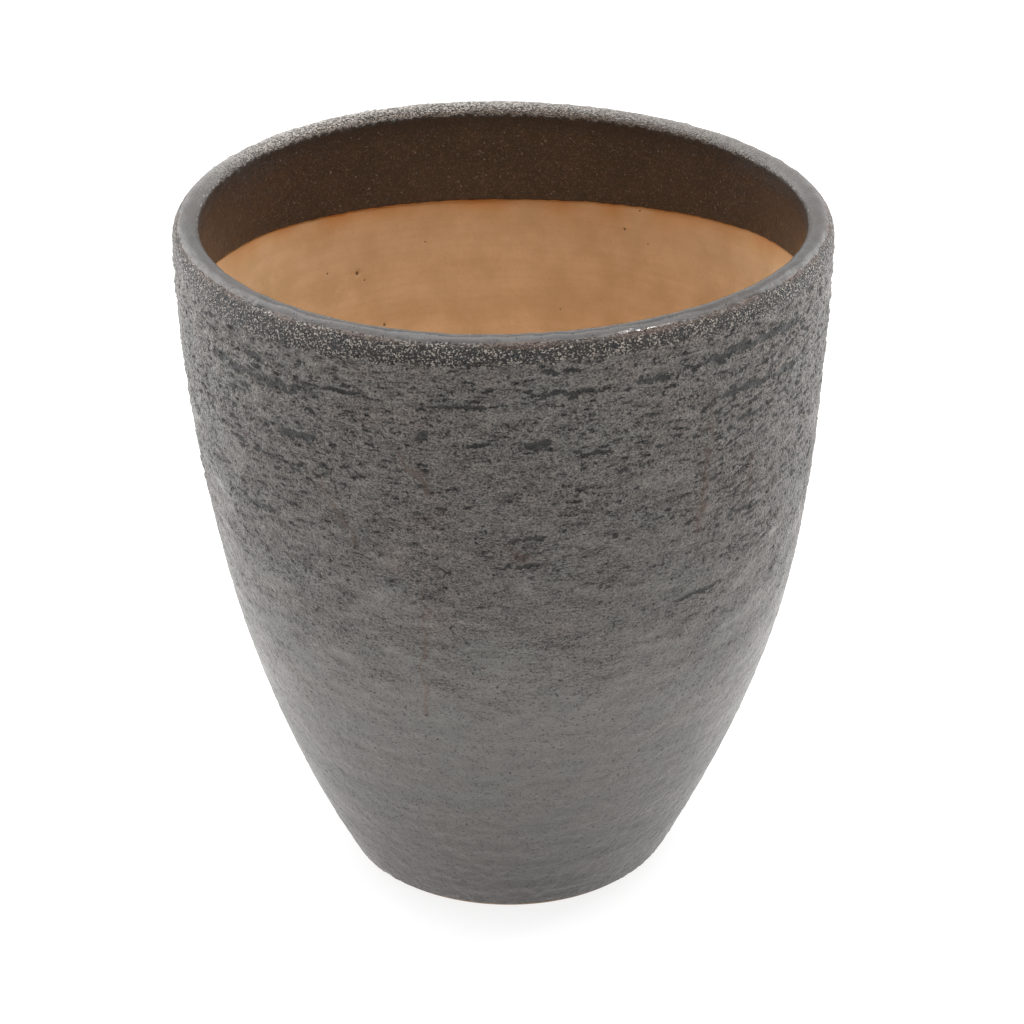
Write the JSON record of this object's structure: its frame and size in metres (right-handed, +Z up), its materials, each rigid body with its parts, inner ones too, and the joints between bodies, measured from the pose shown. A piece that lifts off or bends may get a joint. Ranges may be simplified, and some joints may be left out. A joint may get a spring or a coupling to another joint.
{
  "type": "glazed terracotta plant pot",
  "caption": "Tall tapering terracotta plant pot with a dark metallic grey glaze outside, a dark brown glazed collar inside the rounded rim, raw orange clay inside and a drain hole.",
  "frame": {"origin": "centre of the foot, on the ground", "axes": "+Z up along the pot's axis towards the mouth; +Y towards the side where the inner glaze reaches deepest; +X to the right seen from -Y"},
  "size_m": [0.27, 0.27, 0.297],
  "materials": {
    "raw_clay": "matte unglazed terracotta",
    "outer_glaze": "grainy semi-matte metallic grey glaze",
    "lip_glaze": "smooth satin blue-grey glaze",
    "inner_glaze": "grainy semi-matte dark brown glaze"
  },
  "bodies": {
    "root": {"clay_body": "raw_clay", "outer_glaze": "outer_glaze", "lip_glaze": "lip_glaze", "inner_glaze": "inner_glaze"}
  },
  "joints": []
}
